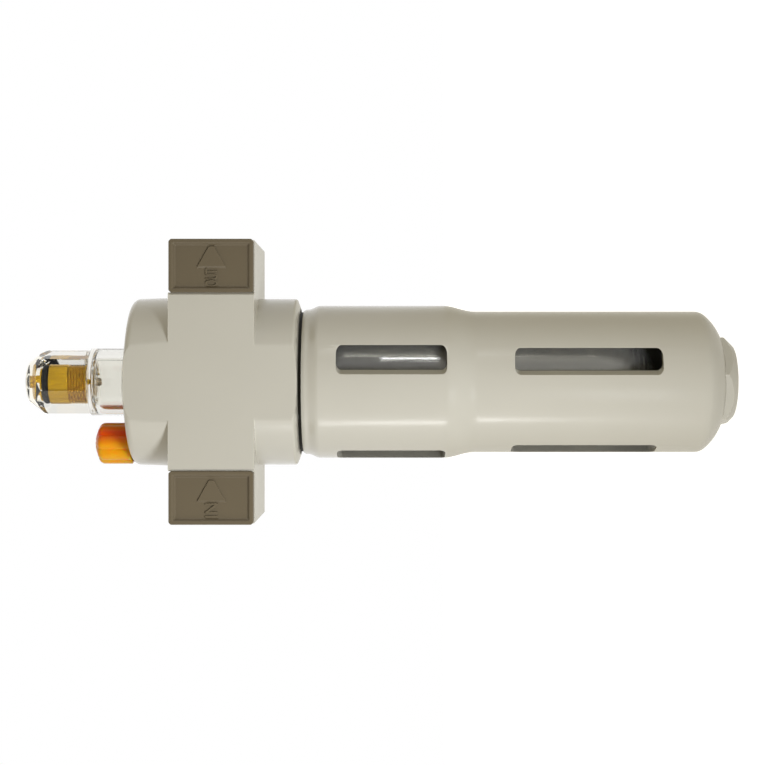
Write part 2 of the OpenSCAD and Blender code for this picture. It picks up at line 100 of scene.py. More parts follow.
def tint(name, description, code):
    """Colour property with a hex default."""
    return FloatVectorProperty(
        name=name, description=description, default=linear(code),
        subtype="COLOR", size=4, min=0, max=1
    )


def length(name, description, millimetres):
    """Length property with a default in millimetres."""
    return FloatProperty(
        name=name, description=description, default=millimetres * MM,
        unit="LENGTH", precision=5, min=0
    )


def power(name, description, watts):
    """Lamp power property."""
    return FloatProperty(name=name, description=description, default=watts, unit="POWER", min=0)


class CastingLook(bpy.types.PropertyGroup):
    """Finish of the painted castings"""

    paint: tint("Paint", "Enamel on the housing, the plates and the guard", "#C6C2B5")
    # Unpainted zinc inside the guard, its dark tone partly painted shade
    bare_and_painted_shade: tint("Bare casting", "Unpainted zinc inside the guard", "#6E6E68")
    edge: length("Edge", "Rounding of the castings' edges", 0.4)
    peel: length("Orange peel", "Size of the ripples in the paint", 1.1)


class MouldedLook(bpy.types.PropertyGroup):
    """Finish of the moulded and sealing parts"""

    cover: tint("Covers", "Brown covers on the plates", "#6A5F4B")
    plug: tint("Filler plug", "Orange filler plug", "#FFAE0E")
    # Deeper orange painted as shade on the filler plug's +X side, away from the key lamp
    plug_painted_shade: tint("Filler plug's far side", "Deep orange that shines through it", "#F45C04")
    clear: tint("Clear parts", "Sight dome, nozzle, bowl and riser tube", "#EFEEE8")
    inner: tint("Inner plastic", "Sleeve in the air passage", "#38342E")
    rubber: tint("Seals", "Sealing rings", "#12100A")
    edge: length("Edge", "Rounding of the moulded edges", 0.18)
    mark_height: length("Flow mark height", "How far the arrows and words stand up", 0.38)


class MetalLook(bpy.types.PropertyGroup):
    """Finish of the bare metal parts"""

    brass: tint("Brass", "Regulating screw and valve cage", "#C89C05")
    steel: tint("Steel", "Screws, flap, pin and ball", "#B9BCBC")
    bronze: tint("Sintered bronze", "Strainer on the riser tube", "#8E6B3C")
    zinc: tint("Cut zinc", "Threads cut in the ports", "#A9A9A4")
    screw_lead: length("Screw lead", "Rise of the regulating screw's thread in one turn", 0.7)
    plug_lead: length("Plug lead", "Rise of the filler plug's thread in one turn", 1.25)
    port_lead: length("Port lead", "Rise of the port threads in one turn", 1.337)


class StageLook(bpy.types.PropertyGroup):
    """Camera, lamps and floor"""

    distance: length("Camera distance", "From the camera to the upright axis", 378)
    height: FloatProperty(
        name="Camera height", description="Against the port axis",
        default=-38.4 * MM, unit="LENGTH", precision=5
    )
    lens: FloatProperty(name="Lens", description="Focal length in millimetres", default=75.8, min=10)
    ambient: FloatProperty(
        name="Ambient", description="Level of the light from all around", default=0.53, min=0
    )
    around: tint("Surroundings", "Tone of the light from all around", "#FFF4D2")
    bounce: tint("Bounce", "Warm tone of the light from the room in front", "#FFE08A")
    key: power("Key", "Power of the soft main lamp", 0.68)
    key_tone: tint("Key tone", "Cool tone of the main lamp", "#F0F5FF")
    strip: power("Strip", "Power of the narrow lamp", 0.22)
    spark: power("Spark", "Power of the small upper lamp", 0.12)
    drop: length("Floor drop", "From the guard's end down to the floor", 50)


def add_node(tree, kind, links=None, values=None, **settings):
    """Adds a shader node with its settings, its socket values and its links."""
    made = tree.nodes.new(kind)
    for name, value in settings.items():
        setattr(made, name, value)
    for socket, value in (values or {}).items():
        made.inputs[socket].default_value = value
    for socket, source in (links or {}).items():
        tree.links.new(source, made.inputs[socket])
    return made


def new_material(name, values):
    """A material, its node tree and its shader with plain values on the shader's own sockets."""
    material = bpy.data.materials.new(name)
    material.use_nodes = True
    tree = material.node_tree
    shader = tree.nodes["Principled BSDF"]
    for socket, value in values.items():
        shader.inputs[socket].default_value = value
    return material, tree, shader


def per(millimetres):
    """Texture scale that gives features of this size."""
    return 1 / (millimetres * MM)


def scaled(colour, share):
    """A colour made lighter or darker."""
    return tuple(min(1, c * share) for c in colour[:3]) + (1,)


# Sockets of the Mix node when it mixes colours or numbers
COLOUR_A, COLOUR_B, COLOUR_OUT = 6, 7, 2
NUMBER_A, NUMBER_B, NUMBER_OUT = 2, 3, 0
# Agreement of the plain and the rounded normal where the lighter edge begins and where it is full; the edge
# is lighter partly from wear, partly as a painted highlight
WEAR_AND_SHEEN_BEGINS, WEAR_AND_SHEEN_FULL = 0.97, 0.80


def edges(tree, reach_mm):
    """1 along sharp edges, where handling wears a finish and where a painted highlight stands for rounded
    edges catching the light, and 0 away from them.
    """
    rounded = add_node(tree, "ShaderNodeBevel", values={"Radius": reach_mm * MM}, samples=6)
    plain = add_node(tree, "ShaderNodeNewGeometry")
    along = add_node(
        tree, "ShaderNodeVectorMath", {0: rounded.outputs["Normal"], 1: plain.outputs["Normal"]},
        operation="DOT_PRODUCT"
    )
    return add_node(
        tree, "ShaderNodeMapRange", {"Value": along.outputs["Value"]},
        {"From Min": WEAR_AND_SHEEN_BEGINS, "From Max": WEAR_AND_SHEEN_FULL, "To Min": 0.0, "To Max": 1.0}
    ).outputs["Result"]


def surface(parts, colour, grain_mm, height_mm, spread, rough, cloud_mm=12, wear_and_sheen=None):
    """Cloudy tone, grain bump, uneven gloss and lighter edges, partly wear and partly painted highlight,
    shared by the finishes.

    The tone varies by spread to both sides, the gloss between two roughnesses, and wear_and_sheen is how
    far the lighter edge reaches from the edges, in millimetres, and how much lighter it is there: partly
    wear, partly a painted highlight.
    """
    material, tree, shader = parts
    place = add_node(tree, "ShaderNodeTexCoord").outputs["Object"]
    cloud = add_node(tree, "ShaderNodeTexNoise", {"Vector": place}, {"Scale": per(cloud_mm), "Detail": 3})
    tone = add_node(
        tree, "ShaderNodeMix", {"Factor": cloud.outputs["Fac"]},
        {COLOUR_A: scaled(colour, 1 - spread), COLOUR_B: scaled(colour, 1 + spread)}, data_type="RGBA"
    ).outputs[COLOUR_OUT]
    if wear_and_sheen:
        tone = add_node(
            tree, "ShaderNodeMix", {"Factor": edges(tree, wear_and_sheen[0]), COLOUR_A: tone},
            {COLOUR_B: scaled(colour, wear_and_sheen[1])}, data_type="RGBA"
        ).outputs[COLOUR_OUT]
    grain = add_node(tree, "ShaderNodeTexNoise", {"Vector": place}, {"Scale": per(grain_mm), "Detail": 2})
    gloss = add_node(
        tree, "ShaderNodeMix", {"Factor": grain.outputs["Fac"]}, {NUMBER_A: rough[0], NUMBER_B: rough[1]}
    )
    bump = add_node(
        tree, "ShaderNodeBump", {"Height": grain.outputs["Fac"]}, {"Distance": height_mm * MM}
    )
    tree.links.new(tone, shader.inputs["Base Color"])
    tree.links.new(gloss.outputs[NUMBER_OUT], shader.inputs["Roughness"])
    tree.links.new(bump.outputs["Normal"], shader.inputs["Normal"])
    return tone, place


def radius_from(tree, place, axis):
    """Distance of a place from an upright axis."""
    from_axis = add_node(tree, "ShaderNodeVectorMath", {0: place}, {1: axis}, operation="SUBTRACT")
    flat = add_node(
        tree, "ShaderNodeVectorMath", {0: from_axis.outputs["Vector"]}, {1: (1, 1, 0)}, operation="MULTIPLY"
    )
    return add_node(
        tree, "ShaderNodeVectorMath", {0: flat.outputs["Vector"]}, operation="LENGTH"
    ).outputs["Value"]


ENAMEL = {"IOR": 1.5, "Coat Weight": 1.0, "Coat Roughness": 0.2}
# Unpainted inside of the guard, whose dark tone is partly painted shade: where it ends below, its radius
# below and above the waist, and its shine
BARE_LOW_Z = -113.5 * MM
WAIST_Z = (-60 * MM, -52.5 * MM)
BARE_R = (14.75 * MM, 16.05 * MM)
BARE_METALLIC = 0.3


def enamel_skin(parts, look):
    """Tone, gloss and orange peel of the enamel, a little lighter along the edges: partly wear, partly a
    painted highlight.
    """
    return surface(
        parts, look.paint, grain_mm=look.peel / MM, height_mm=0.003, spread=0.025,
        rough=(0.36, 0.44), wear_and_sheen=(0.5, 1.12)
    )


def sprayed_enamel(look):
    """Enamel sprayed on a zinc casting: satin, with a thin glossy skin and a faint orange peel."""
    parts = new_material("sprayed_enamel_on_zinc", ENAMEL)
    enamel_skin(parts, look)
    return parts[0]


def guard_enamel(look):
    """The same enamel outside, with the inside of the guard left unpainted as dull casting and painted
    dark, partly as the shade inside the closed guard.
    """
    parts = new_material("sprayed_enamel_outside_bare_zinc_and_shade", ENAMEL)
    colour, place = enamel_skin(parts, look)
    material, tree, shader = parts
    # The spray goes through the windows' walls and stops at the inside, which follows the waist; the
    # inside's dark colour is partly painted shade
    at = add_node(tree, "ShaderNodeSeparateXYZ", {"Vector": place})
    limit = add_node(
        tree, "ShaderNodeMapRange", {"Value": at.outputs["Z"]},
        {"From Min": WAIST_Z[0], "From Max": WAIST_Z[1], "To Min": BARE_R[0], "To Max": BARE_R[1]},
        interpolation_type="SMOOTHSTEP"
    )
    deep = add_node(
        tree, "ShaderNodeMath",
        {0: radius_from(tree, place, AXIS), 1: limit.outputs["Result"]}, operation="LESS_THAN"
    )
    above = add_node(
        tree, "ShaderNodeMath", {0: at.outputs["Z"]}, {1: BARE_LOW_Z}, operation="GREATER_THAN"
    )
    inside = add_node(
        tree, "ShaderNodeMath", {0: deep.outputs["Value"], 1: above.outputs["Value"]}, operation="MULTIPLY"
    ).outputs["Value"]
    both = add_node(
        tree, "ShaderNodeMix", {"Factor": inside, COLOUR_A: colour}, {COLOUR_B: look.bare_and_painted_shade},
        data_type="RGBA"
    )
    tree.links.new(both.outputs[COLOUR_OUT], shader.inputs["Base Color"])
    dull = add_node(tree, "ShaderNodeMath", {0: inside}, {1: BARE_METALLIC}, operation="MULTIPLY")
    tree.links.new(dull.outputs["Value"], shader.inputs["Metallic"])
    return material


def moulded_abs(look):
    """ABS moulded in a spark-eroded tool: satin brown with a fine even grain."""
    parts = new_material("moulded_brown_abs", {"IOR": 1.53})
    # The edges are lighter: partly wear, partly a painted highlight
    # The real grain is about 0.1 mm; it is drawn at 0.4 mm so that it shows
    surface(
        parts, look.cover, grain_mm=0.4, height_mm=0.008, spread=0.04,
        rough=(0.32, 0.42), wear_and_sheen=(0.25, 1.2)
    )
    return parts[0]


def oily_polycarbonate(look):
    """The bowl's polycarbonate, hazed by a film of oil: greyish where the light falls on it."""
    parts = new_material("oily_polycarbonate", {"IOR": 1.585, "Transmission Weight": 0.9})
    surface(parts, look.clear, grain_mm=4, height_mm=0.001, spread=0.01, rough=(0.02, 0.05))
    return parts[0]


# Bore of the dome around the regulating screw: its radius, and the middle and half of its height
WET_BORE_R = 3.6 * MM
WET_BORE_Z, WET_BORE_HALF = 36.6 * MM, 7.35 * MM


def clear_polycarbonate(look):
    """Polycarbonate moulded in a polished tool: water-clear, with faint flow waves."""
    parts = new_material("clear_polycarbonate", {"IOR": 1.585, "Transmission Weight": 1.0})
    place = surface(parts, look.clear, grain_mm=4, height_mm=0.001, spread=0.01, rough=(0.02, 0.05))[1]
    material, tree, shader = parts
    # Oil fills the bore around the regulating screw, so the bore's own walls can't be seen
    at = add_node(tree, "ShaderNodeSeparateXYZ", {"Vector": place})
    on_bore = add_node(
        tree, "ShaderNodeMath", {0: radius_from(tree, place, AXIS)}, {1: WET_BORE_R},
        operation="LESS_THAN"
    )
    at_screw = add_node(
        tree, "ShaderNodeMath", {0: at.outputs["Z"]}, {1: WET_BORE_Z, 2: WET_BORE_HALF},
        operation="COMPARE"
    )
    wet = add_node(
        tree, "ShaderNodeMath", {0: on_bore.outputs["Value"], 1: at_screw.outputs["Value"]},
        operation="MULTIPLY"
    )
    dry = add_node(tree, "ShaderNodeMath", {1: wet.outputs["Value"]}, {0: 1.0}, operation="SUBTRACT")
    tree.links.new(dry.outputs["Value"], shader.inputs["Alpha"])
    return material


# Painted shade of the filler plug, a deeper orange along X from its axis: where it rises, falls, and what
# is left
PAINTED_SHADE_RISE = (PLUG_AXIS.x - 0.5 * MM, PLUG_AXIS.x + 2.2 * MM)
PAINTED_SHADE_FALL = (PLUG_AXIS.x + 2.8 * MM, PLUG_AXIS.x + 4.5 * MM)
PAINTED_SHADE_LEFT = 0.2


def moulded_orange(look):
    """Polypropylene in orange: satin, and a little light goes through it; its +X side has a painted shade
    of deeper orange.
    """
    parts = new_material(
        "moulded_orange_polypropylene",
        {"IOR": 1.49, "Specular IOR Level": 0.3, "Subsurface Weight": 1.0, "Subsurface Scale": 1.0,
         "Subsurface Radius": (3 * MM, 0.9 * MM, 0.1 * MM)}
    )
    colour, place = surface(
        parts, look.plug, grain_mm=0.6, height_mm=0.006, spread=0.03, cloud_mm=5, rough=(0.28, 0.36)
    )
    material, tree, shader = parts
    # Painted shade: the +X side, away from the key lamp, is painted a deeper orange, like light that has
    # come through the plastic
    at = add_node(tree, "ShaderNodeSeparateXYZ", {"Vector": place})
    rise = add_node(
        tree, "ShaderNodeMapRange", {"Value": at.outputs["X"]},
        {"From Min": PAINTED_SHADE_RISE[0], "From Max": PAINTED_SHADE_RISE[1], "To Min": 0.0, "To Max": 1.0}
    )
    fall = add_node(
        tree, "ShaderNodeMapRange", {"Value": at.outputs["X"]},
        {"From Min": PAINTED_SHADE_FALL[0], "From Max": PAINTED_SHADE_FALL[1], "To Min": 1.0, "To Max": PAINTED_SHADE_LEFT}
    )
    depth = add_node(
        tree, "ShaderNodeMath", {0: rise.outputs["Result"], 1: fall.outputs["Result"]}, operation="MINIMUM"
    )
    deep = add_node(
        tree, "ShaderNodeMix", {"Factor": depth.outputs["Value"], COLOUR_A: colour},
        {COLOUR_B: look.plug_painted_shade}, data_type="RGBA"
    )
    tree.links.new(deep.outputs[COLOUR_OUT], shader.inputs["Base Color"])
    return material


def moulded_acetal(look):
    """Dark acetal inside the air passage: smooth and slightly waxy."""
    parts = new_material("moulded_dark_acetal", {"IOR": 1.48})
    surface(parts, look.inner, grain_mm=0.8, height_mm=0.006, spread=0.05, rough=(0.34, 0.42))
    return parts[0]


def sealing_rubber(look):
    """Nitrile rubber: black with a dusty, dull skin."""
    parts = new_material("nitrile_rubber", {"IOR": 1.52, "Specular IOR Level": 0.2})
    surface(parts, look.rubber, grain_mm=0.5, height_mm=0.008, spread=0.12, cloud_mm=4, rough=(0.5, 0.65))
    return parts[0]


def turned_brass(look):
    """Brass from the lathe: warm yellow with fine rings left by the tool."""
    parts = new_material("turned_brass", {"Metallic": 0.7})
    material, tree, shader = parts
    surface(parts, look.brass, grain_mm=3, height_mm=0.002, spread=0.06, rough=(0.18, 0.30))
    place = add_node(tree, "ShaderNodeTexCoord").outputs["Object"]
    # Tool rings are about 0.05 mm apart; they are drawn at 0.25 mm so that they show
    along = add_node(tree, "ShaderNodeVectorMath", {0: place}, {1: (0.02, 0.02, 1)}, operation="MULTIPLY")
    rings = add_node(
        tree, "ShaderNodeTexNoise", {"Vector": along.outputs["Vector"]}, {"Scale": per(0.25), "Detail": 1}
    )
    bump = add_node(
        tree, "ShaderNodeBump", {"Height": rings.outputs["Fac"]}, {"Distance": 0.006 * MM}
    )
    tree.links.new(bump.outputs["Normal"], shader.inputs["Normal"])
    return material


def plated_steel(look):
    """Zinc-plated steel: bright grey with a fine matt bloom."""
    parts = new_material("zinc_plated_steel", {"Metallic": 1.0})
    surface(parts, look.steel, grain_mm=0.5, height_mm=0.004, spread=0.08, cloud_mm=3, rough=(0.26, 0.42))
    return parts[0]


def cut_zinc(look):
    """Zinc alloy freshly cut by a tap: pale grey, bright on the crests."""
    parts = new_material("tapped_zinc_alloy", {"Metallic": 1.0})
    surface(parts, look.zinc, grain_mm=0.4, height_mm=0.006, spread=0.08, cloud_mm=3, rough=(0.30, 0.45))
    return parts[0]


def sintered_bronze(look):
    """Bronze beads sintered into a porous cup."""
    parts = new_material("sintered_bronze", {"Metallic": 0.9})
    material, tree, shader = parts
    surface(parts, look.bronze, grain_mm=0.5, height_mm=0.01, spread=0.15, cloud_mm=1.5, rough=(0.45, 0.6))
    place = add_node(tree, "ShaderNodeTexCoord").outputs["Object"]
    # The beads are about 0.2 mm; they are drawn at 0.35 mm so that they show
    beads = add_node(tree, "ShaderNodeTexVoronoi", {"Vector": place}, {"Scale": per(0.35)})
    bump = add_node(
        tree, "ShaderNodeBump", {"Height": beads.outputs["Distance"]}, {"Distance": 0.08 * MM}, invert=True
    )
    tree.links.new(bump.outputs["Normal"], shader.inputs["Normal"])
    return material


FINISHES = {}


def finish_of(builder, look):
    """A finish that several operators share, made once."""
    key = builder.__name__
    if key not in FINISHES:
        FINISHES[key] = builder(look)
    return FINISHES[key]


def dress(material, *nodes):
    """Gives CAD nodes a finish."""
    for name in nodes:
        materials = NODES[name].data.materials
        materials.clear()
        materials.append(material)


# Faces that meet flatter than the first angle are one, and edges sharper than the second are
# rounded, or than the third drawn sharp
WHOLE_FROM, ROUND_FROM, SHARP_FROM = math.radians(0.4), math.radians(30), math.radians(38)


def soften(obj, width, join=0.001 * MM):
    """Rounds an object's sharp edges with modifiers and leaves its mesh alone."""
    weld = obj.modifiers.new("Weld seams", "WELD")
    weld.merge_threshold = join
    flat = obj.modifiers.new("Whole faces", "DECIMATE")
    flat.decimate_type = "DISSOLVE"
    flat.angle_limit = WHOLE_FROM
    bevel = obj.modifiers.new("Round edges", "BEVEL")
    bevel.width = width
    bevel.segments = 3
    bevel.limit_method = "ANGLE"
    bevel.angle_limit = ROUND_FROM
    bevel.use_clamp_overlap = True
    normals = obj.modifiers.new("Even shading", "WEIGHTED_NORMAL")
    normals.weight = 50
    normals.keep_sharp = False


def piece(name, bm, material, body, slot, *replaced):
    """Makes a finished piece from a bmesh and lets it ride on a body."""
    bmesh.ops.remove_doubles(bm, verts=bm.verts, dist=1e-7)
    bmesh.ops.recalc_face_normals(bm, faces=bm.faces)
    mesh = bpy.data.meshes.new(name)
    bm.to_mesh(mesh)
    bm.free()
    mesh.shade_smooth()
    mesh.set_sharp_from_angle(angle=SHARP_FROM)
    mesh.materials.append(material)
    obj = bpy.data.objects.new(name, mesh)
    bpy.context.scene.collection.objects.link(obj)
    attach(obj, body)
    if replaced:
        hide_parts(*replaced)
    return obj


def loft(loops, tube=False):
    """Skin over loops of equal length; a tube joins the last loop to the first, the rest is capped."""
    bm = bmesh.new()
    rows = [[bm.verts.new(point) for point in loop] for loop in loops]
    pairs = list(zip(rows, rows[1:])) + ([(rows[-1], rows[0])] if tube else [])
    for low, high in pairs:
        for i, vertex in enumerate(low):
            k = (i + 1) % len(low)
            bm.faces.new((vertex, low[k], high[k], high[i]))
    if not tube:
        bm.faces.new(rows[0])
        bm.faces.new(rows[-1])
    return bm


def circle(centre, radius, z, points=96):
    """Loop about an upright axis; radius may depend on the angle. Sizes in millimetres."""
    loop = []
    for i in range(points):
        turn = FULL_TURN * i / points
        r = radius(turn) if callable(radius) else radius
        x = centre.x + r * MM * math.cos(turn)
        y = centre.y + r * MM * math.sin(turn)
        loop.append(Vector((x, y, z * MM)))
    return loop


# Slope of a thread's flanks, and how far crest and root are cut off
THREAD_SLOPE, THREAD_LAND = 1.6, 0.3


def thread_rise(z, turn, lead):
    """Height of a thread's flank between root, 0, and crest, 1, at a height and an angle."""
    phase = (z / lead - turn / FULL_TURN) % 1
    return min(1, max(0, THREAD_SLOPE * abs(2 * phase - 1) - THREAD_LAND))


def steps(start, end, size):
    """Even steps from start to end, no longer than size."""
    count = max(1, math.ceil(abs(end - start) / size))
    return [start + (end - start) * i / count for i in range(count + 1)]


# Short edges around the guard's windows are joined, since they would hold the rounding back
GUARD_JOIN = 0.06 * MM


class LUBRICATOR_OT_castings(bpy.types.Operator):
    """Paints the housing, the connecting plates and the bowl guard"""

    bl_idname = "lubricator.castings"
    bl_label = "Castings"

    def execute(self, context):
        look = context.scene.lubricator_castings
        dress(finish_of(sprayed_enamel, look), "housing", "inlet_plate", "outlet_plate")
        dress(finish_of(guard_enamel, look), "bowl_guard")
        for name in ("housing", "inlet_plate", "outlet_plate"):
            soften(NODES[name], look.edge)
        soften(NODES["bowl_guard"], look.edge, GUARD_JOIN)
        return {"FINISHED"}


# Flow marks on the covers: word, its span along X from the upright axis, arrow base and tip
FLOW_MARKS = {
    "inlet": ("IN", (-30.4, -27.2), -27.1, -21.9),
    "outlet": ("OUT", (21.35, 25.3), 25.4, 30.5),
}
PANEL_DEPTH = 0.7 * MM
MARK_SUNK = 0.03 * MM
LETTER_HALF = 1.4 * MM
LETTER_Z = -0.1 * MM
ARROW_HALF = 3.3 * MM
ARROW_TIP_HALF = 0.6 * MM
ARROW_DRAFT = 0.2 * MM
ARROW_BASE_SLOPE = 0.5 * MM
ARROW_EDGE = 0.07 * MM
# Thickness, rounding and inset of the letters, as shares of the font's size
LETTER_THICK, LETTER_EDGE, LETTER_INSET = 0.08, 0.02, -0.012
# Lays what is drawn flat on the front, reading along the air flow
ON_FRONT = Matrix(((1, 0, 0, 0), (0, 0, -1, 0), (0, 1, 0, 0), (0, 0, 0, 1)))


def word_mesh(word, box_low, box_high, depth):
    """Solid letters that fill a flat box, as a bmesh standing up from zero."""
    curve = bpy.data.curves.new(word, "FONT")
    curve.body = word
    curve.extrude = LETTER_THICK
    curve.bevel_depth = LETTER_EDGE
    curve.offset = LETTER_INSET
    writing = bpy.data.objects.new(word, curve)
    bpy.context.scene.collection.objects.link(writing)
    bpy.context.view_layer.update()
    evaluated = writing.evaluated_get(bpy.context.evaluated_depsgraph_get())
    bm = bmesh.new()
    mesh = evaluated.to_mesh()
    bm.from_mesh(mesh)
    evaluated.to_mesh_clear()
    bpy.data.objects.remove(writing)
    bpy.data.curves.remove(curve)
    spans = [(min(v.co[i] for v in bm.verts), max(v.co[i] for v in bm.verts)) for i in range(3)]
    wanted = list(zip((*box_low, 0), (*box_high, depth)))
    for vertex in bm.verts:
        vertex.co = Vector(
            new[0] + (vertex.co[i] - old[0]) / (old[1] - old[0]) * (new[1] - new[0])
            for i, (old, new) in enumerate(zip(spans, wanted))
        )
    return bm


class LUBRICATOR_OT_covers(bpy.types.Operator):
    """Finishes the plates' covers and puts the raised flow marks on them"""

    bl_idname = "lubricator.covers"
    bl_label = "Covers and flow marks"

    def execute(self, context):
        look = context.scene.lubricator_moulded
        plastic = finish_of(moulded_abs, look)
        depth = look.mark_height + MARK_SUNK
        for side, (word, span, base, tip) in FLOW_MARKS.items():
            cover = f"{side}_cover"
            dress(plastic, cover)
            soften(NODES[cover], look.edge)
            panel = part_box(cover)[0].y + PANEL_DEPTH + MARK_SUNK
            place = Matrix.Translation((AXIS.x, panel, LETTER_Z)) @ ON_FRONT
            letters = word_mesh(
                word, (span[0] * MM, -LETTER_HALF), (span[1] * MM, LETTER_HALF), depth
            )
            letters.transform(place)
            piece(f"{side}_flow_word", letters, plastic, "body", "brown_plastic")
            corners = [(base * MM, -ARROW_HALF), (tip * MM, -ARROW_TIP_HALF),
                       (tip * MM, ARROW_TIP_HALF), (base * MM, ARROW_HALF)]
            slope = [(ARROW_BASE_SLOPE, ARROW_DRAFT), (-ARROW_DRAFT, 0), (-ARROW_DRAFT, 0),
                     (ARROW_BASE_SLOPE, -ARROW_DRAFT)]
            arrow = loft([
                [Vector((x, z, 0)) for x, z in corners],
                [Vector((x + dx, z + dz, depth)) for (x, z), (dx, dz) in zip(corners, slope)],
            ])
            arrow.transform(place)
            soften(piece(f"{side}_flow_arrow", arrow, plastic, "body", "brown_plastic"), ARROW_EDGE)
        return {"FINISHED"}


# Regulating screw: half section below and above its thread, and the thread's ends
SCREW_FOOT = [(0, 29), (0.45, 30), (0.45, 30.4), (2.9, 30.4)]
SCREW_HEAD = [(3.5, 34.9), (3.5, 39.11), (3.46, 39.15), (1.8, 39.15), (1.8, 40.85), (2.55, 40.85),
              (2.6, 40.9), (2.6, 41.2), (2.55, 41.25), (0.9, 41.25), (0.9, 42.3), (0.8, 42.4), (0, 42.4)]
SCREW_THREAD = (30.5, 34.7)
SCREW_ROOT, SCREW_CREST = 3.1, 3.5
SCREW_STEP = 0.07
# Share of the thread's depth at its first and last point
THREAD_START = 0.3
DOME_EDGE = 0.25 * MM


class LUBRICATOR_OT_sight_dome(bpy.types.Operator):
    """Finishes the sight dome and the nozzle, and cuts the regulating screw's thread"""

    bl_idname = "lubricator.sight_dome"
    bl_label = "Sight dome and regulating screw"

    def execute(self, context):
        moulded = context.scene.lubricator_moulded
        metal = context.scene.lubricator_metal
        dress(finish_of(clear_polycarbonate, moulded), "sight_dome", "drip_nozzle")
        soften(NODES["sight_dome"], DOME_EDGE)
        brass = finish_of(turned_brass, metal)
        lead = metal.screw_lead / MM
        loops = [circle(AXIS, r, z) for r, z in SCREW_FOOT]
        low, high = SCREW_THREAD
        for z in steps(low, high, SCREW_STEP):
            run_out = min(1, (z - low) / lead, (high - z) / lead)
            loops.append(circle(
                AXIS,
                lambda turn: SCREW_CREST - (SCREW_CREST - SCREW_ROOT) * (
                    1 - thread_rise(z, turn, lead)) * min(1, THREAD_START + run_out),
                z
            ))
        loops += [circle(AXIS, r, z) for r, z in SCREW_HEAD]
        piece("threaded_regulating_screw", loft(loops), brass, "screw", "brass", "regulating_screw")
        return {"FINISHED"}


# Filler plug: threaded shank, lobes of the knob and the height of its parts
PLUG_SHANK_LOW, PLUG_SHANK_TOP = 12.6, 19.8
PLUG_SHANK_R, PLUG_ROOT_R = 3.4, 3.0
PLUG_TIP_R, PLUG_TIP = 2.7, 0.3
PLUG_THREAD_END, PLUG_NECK = 1, 0.8
PLUG_STEP = 0.1
PLUG_BASE, PLUG_TOP = 20.05, 28.8
LOBES = 8
LOBE_CENTRE, LOBE_R = 2.6, 2.2
LOBE_DOME = 1.5
LOBE_DOME_TURN, LOBE_DOME_ROWS = 84, 10
KNOB_CROWN = 0.8
KNOB_EDGE, KNOB_EDGE_BEND = 0.25, 0.07
KNOB_ROW = 1.5
KNOB_POINTS = 192
KNOB_TURN = math.radians(5.5)


def lobed(inset):
    """Outline of the knob as a radius by angle, drawn in by an inset all along its lobes."""
    def radius(turn):
        pitch = FULL_TURN / LOBES
        off = (turn + math.pi / 2 - KNOB_TURN + pitch / 2) % pitch - pitch / 2
        across = LOBE_CENTRE * math.sin(off)
        reach = max(0.04, (LOBE_R - inset) ** 2 - across ** 2)
        return LOBE_CENTRE * math.cos(off) + math.sqrt(reach)
    return radius


class LUBRICATOR_OT_filler_plug(bpy.types.Operator):
    """Builds the lobed filler plug with its threaded shank"""

    bl_idname = "lubricator.filler_plug"
    bl_label = "Filler plug"

    def execute(self, context):
        orange = finish_of(moulded_orange, context.scene.lubricator_moulded)
        lead = context.scene.lubricator_metal.plug_lead / MM
        points = KNOB_POINTS
        loops = [circle(PLUG_AXIS, PLUG_TIP_R, PLUG_SHANK_LOW, points)]
        for z in steps(PLUG_SHANK_LOW + PLUG_TIP, PLUG_SHANK_TOP - PLUG_THREAD_END, PLUG_STEP):
            loops.append(circle(
                PLUG_AXIS,
                lambda turn: PLUG_ROOT_R + (PLUG_SHANK_R - PLUG_ROOT_R) * thread_rise(z, turn, lead),
                z, points
            ))
        loops.append(circle(PLUG_AXIS, PLUG_SHANK_R, PLUG_SHANK_TOP - PLUG_NECK, points))
        loops.append(circle(PLUG_AXIS, PLUG_SHANK_R, PLUG_BASE, points))
        loops.append(circle(PLUG_AXIS, lobed(KNOB_EDGE), PLUG_BASE, points))
        loops.append(circle(PLUG_AXIS, lobed(KNOB_EDGE_BEND), PLUG_BASE + KNOB_EDGE_BEND, points))
        loops.append(circle(PLUG_AXIS, lobed(0), PLUG_BASE + KNOB_EDGE, points))
        shoulder = PLUG_TOP - KNOB_CROWN - LOBE_DOME
        for z in steps(PLUG_BASE + 1, shoulder, KNOB_ROW):
            loops.append(circle(PLUG_AXIS, lobed(0), z, points))
        for i in range(1, LOBE_DOME_ROWS + 1):
            rise = math.radians(LOBE_DOME_TURN * i / LOBE_DOME_ROWS)
            rim = lobed(LOBE_DOME * (1 - math.cos(rise)))
            loops.append(circle(PLUG_AXIS, rim, shoulder + LOBE_DOME * math.sin(rise), points))
        for share in (0.8, 0.6, 0.4, 0.2, 0):
            level = PLUG_TOP - KNOB_CROWN * share ** 2
            loops.append(circle(PLUG_AXIS, lambda turn: rim(turn) * share, level, points))
        piece("lobed_filler_plug", loft(loops), orange, "filler", "orange_plastic", "filler_plug")
        return {"FINISHED"}


class LUBRICATOR_OT_oil_bowl(bpy.types.Operator):
    """Finishes the oil bowl, the pick-up tube with its strainer, and the air valve"""

    bl_idname = "lubricator.oil_bowl"
    bl_label = "Oil bowl"

    def execute(self, context):
        moulded = context.scene.lubricator_moulded
        metal = context.scene.lubricator_metal
        dress(finish_of(oily_polycarbonate, moulded), "bowl")
        dress(finish_of(clear_polycarbonate, moulded), "riser_tube")
        dress(finish_of(sintered_bronze, metal), "tube_strainer")
        dress(finish_of(turned_brass, metal), "check_cage")
        dress(finish_of(plated_steel, metal), "check_ball")
        return {"FINISHED"}


# Port thread: radius of its root and crest, and how far it goes in from the mouth
PORT_ROOT, PORT_CREST = 5.70, 5.28
PORT_SKIN = 5.715
PORT_THREAD = (0.5, 11.3)
PORT_STEP, PORT_POINTS = 0.11, 72


